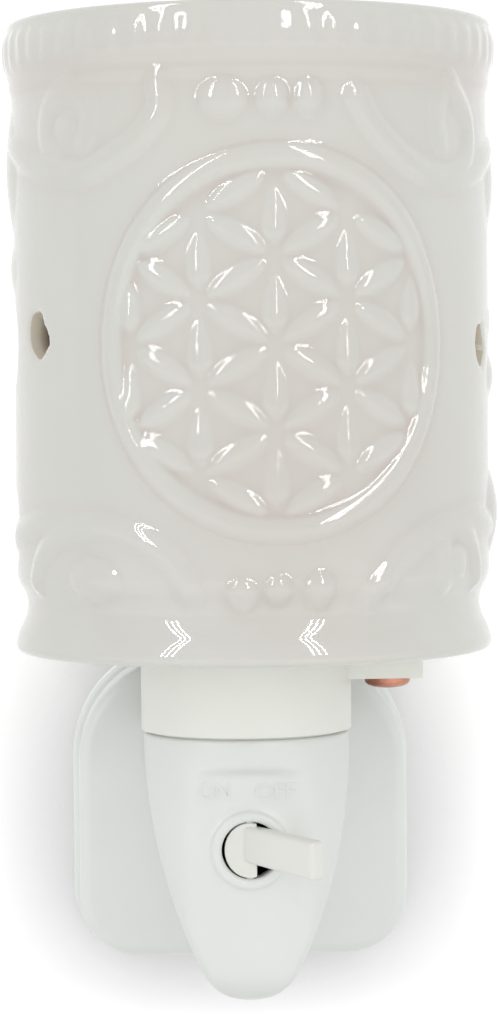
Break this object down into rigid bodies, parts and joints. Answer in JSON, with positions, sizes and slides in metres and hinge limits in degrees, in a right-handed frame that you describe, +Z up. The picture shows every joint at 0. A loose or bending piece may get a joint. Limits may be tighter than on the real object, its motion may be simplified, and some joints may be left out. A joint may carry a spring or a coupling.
{
  "type": "plug-in wax melt warmer",
  "caption": "Plug-in wax melt warmer: a glazed ceramic shade with flower-grid relief and lift-out dish on a three-pin plug body with a toggle switch.",
  "frame": {"origin": "middle of the plug body's face that lies on the wall socket", "axes": "+Y into the wall along the plug pins, +Z up, -Y to the front of the warmer"},
  "size_m": [0.0798, 0.1066, 0.1567],
  "materials": {
    "glazed_ceramic": "glossy white glaze",
    "lamp_glass": "clear",
    "lamp_wire": "drawn wire",
    "nickel": "plated",
    "dark_glass": "glossy",
    "solder": "dull",
    "holder_plastic": "moulded",
    "brass_sheet": "stamped",
    "steel_screw": "plated",
    "collar_plastic": "satin moulded",
    "copper": "polished copper",
    "white_plastic": "satin moulded",
    "toggle_plastic": "glossy moulded",
    "brass_pin": "polished",
    "black_plastic": "moulded",
    "fuse_body": "glazed",
    "brown_wire": "smooth insulation",
    "blue_wire": "smooth insulation"
  },
  "bodies": {
    "base": {"ceramic_shade": "glazed_ceramic", "bulb_glass": "lamp_glass", "bulb_stem": "lamp_glass", "bulb_filament": "lamp_wire", "bulb_cap": "nickel", "bulb_insulator": "dark_glass", "bulb_contact": "solder", "lampholder_body": "holder_plastic", "lampholder_shell": "brass_sheet", "lampholder_contact": "brass_sheet", "holder_screws": "steel_screw", "shade_ring": "holder_plastic", "neck_collar": "collar_plastic", "ear_screw": "copper", "ear_nut": "steel_screw", "switch_housing": "white_plastic", "toggle_pin": "steel_screw", "switch_contacts": "brass_sheet", "front_plate": "white_plastic", "rear_cover": "white_plastic", "cover_screws": "steel_screw", "housing_screws": "steel_screw", "live_pin": "brass_pin", "neutral_pin": "brass_pin", "earth_pin": "brass_pin", "pin_sleeves": "black_plastic", "fuse_tube": "fuse_body", "fuse_caps": "nickel", "fuse_clips": "brass_sheet", "live_wire": "brown_wire", "switched_wire": "brown_wire", "neutral_wire": "blue_wire"},
    "toggle": {"toggle_lever": "toggle_plastic", "contact_arm": "brass_sheet"},
    "dish": {"wax_dish": "glazed_ceramic"}
  },
  "joints": [
    {"name": "toggle_hinge", "type": "hinge", "parent": "base", "child": "toggle", "pos_m": [0, -0.0576, -0.0021], "axis": [0, 0, -1], "range_deg": [0, 84]},
    {"name": "dish_lift", "type": "slide", "parent": "base", "child": "dish", "axis": [0, 0, 1], "range_m": [0, 0.03]}
  ]
}
